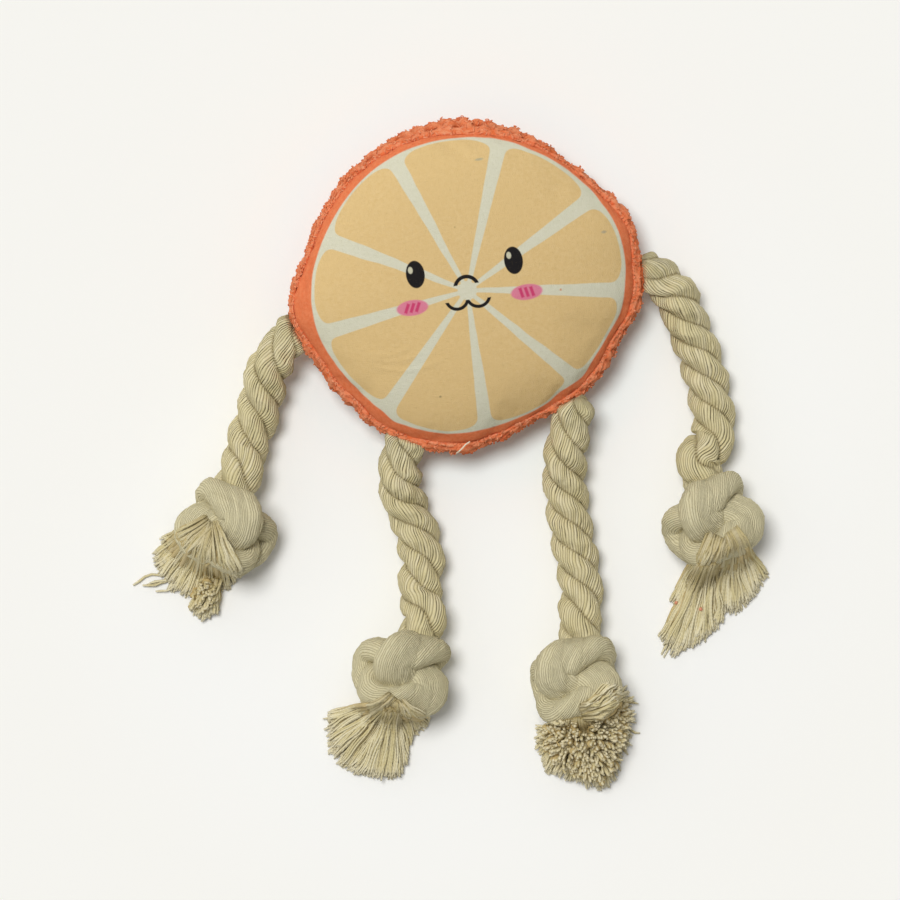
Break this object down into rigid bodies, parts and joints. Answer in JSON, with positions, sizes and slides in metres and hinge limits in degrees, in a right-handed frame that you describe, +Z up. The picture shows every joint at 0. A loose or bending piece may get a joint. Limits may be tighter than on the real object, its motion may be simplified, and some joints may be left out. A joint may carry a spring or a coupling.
{
  "type": "plush rope toy",
  "caption": "Stuffed round citrus slice toy with a squeaker inside and rope limbs that end in knots and frayed tassels.",
  "frame": {"origin": "on the surface that the toy lies on, under the middle of its stuffed body", "axes": "+Z up out of the printed front, +Y towards the top of the face, +X to the right of the face as seen"},
  "size_m": [0.2808, 0.3141, 0.0501],
  "materials": {
    "printed_cloth": "printed plain weave",
    "orange_pile": "matte looped pile",
    "fibre": "loose polyester fibre",
    "squeaker_plastic": "satin moulded",
    "cotton_rope": "undyed laid cotton"
  },
  "bodies": {
    "toy_body": {"front_panel": "printed_cloth", "back_panel": "orange_pile", "rim_trim": "orange_pile", "front_stuffing": "fibre", "back_stuffing": "fibre", "squeaker_bulb": "squeaker_plastic", "squeaker_reed": "squeaker_plastic"},
    "left_arm": {"left_arm_rope": "cotton_rope", "left_arm_knot": "cotton_rope"},
    "left_arm_end": {"left_arm_tassel": "cotton_rope"},
    "right_arm": {"right_arm_rope": "cotton_rope", "right_arm_knot": "cotton_rope"},
    "right_arm_end": {"right_arm_tassel": "cotton_rope"},
    "left_leg": {"left_leg_rope": "cotton_rope", "left_leg_knot": "cotton_rope"},
    "left_leg_end": {"left_leg_tassel": "cotton_rope"},
    "right_leg": {"right_leg_rope": "cotton_rope", "right_leg_knot": "cotton_rope"},
    "right_leg_end": {"right_leg_tassel": "cotton_rope"}
  },
  "joints": [
    {"name": "left_arm_bend", "type": "hinge", "parent": "toy_body", "child": "left_arm", "pos_m": [-0.08375, -0.01058, 0.023], "axis": [0, 0, 1], "range_deg": [-60, 5]},
    {"name": "left_arm_tassel_flop", "type": "hinge", "parent": "left_arm", "child": "left_arm_end", "pos_m": [-0.13254, -0.11625, 0.01892], "axis": [0, 0, 1], "range_deg": [-10, 20]},
    {"name": "right_arm_bend", "type": "hinge", "parent": "toy_body", "child": "right_arm", "pos_m": [0.08534, -0.00657, 0.023], "axis": [0, 0, 1], "range_deg": [-5, 60]},
    {"name": "right_arm_tassel_flop", "type": "hinge", "parent": "right_arm", "child": "right_arm_end", "pos_m": [0.09468, -0.1473, 0.01955], "axis": [0, 0, 1], "range_deg": [-20, 20]},
    {"name": "left_leg_bend", "type": "hinge", "parent": "toy_body", "child": "left_leg", "pos_m": [-0.03958, -0.06801, 0.023], "axis": [-1, 0, 0], "range_deg": [0, 55]},
    {"name": "left_leg_tassel_flop", "type": "hinge", "parent": "left_leg", "child": "left_leg_end", "pos_m": [-0.07075, -0.18985, 0.01995], "axis": [0, 0, 1], "range_deg": [-15, 20]},
    {"name": "right_leg_bend", "type": "hinge", "parent": "toy_body", "child": "right_leg", "pos_m": [0.03892, -0.06741, 0.023], "axis": [-1, 0, 0], "range_deg": [0, 55]},
    {"name": "right_leg_tassel_flop", "type": "hinge", "parent": "right_leg", "child": "right_leg_end", "pos_m": [0.01668, -0.20967, 0.01443], "axis": [0, 0, 1], "range_deg": [-20, 15]}
  ]
}
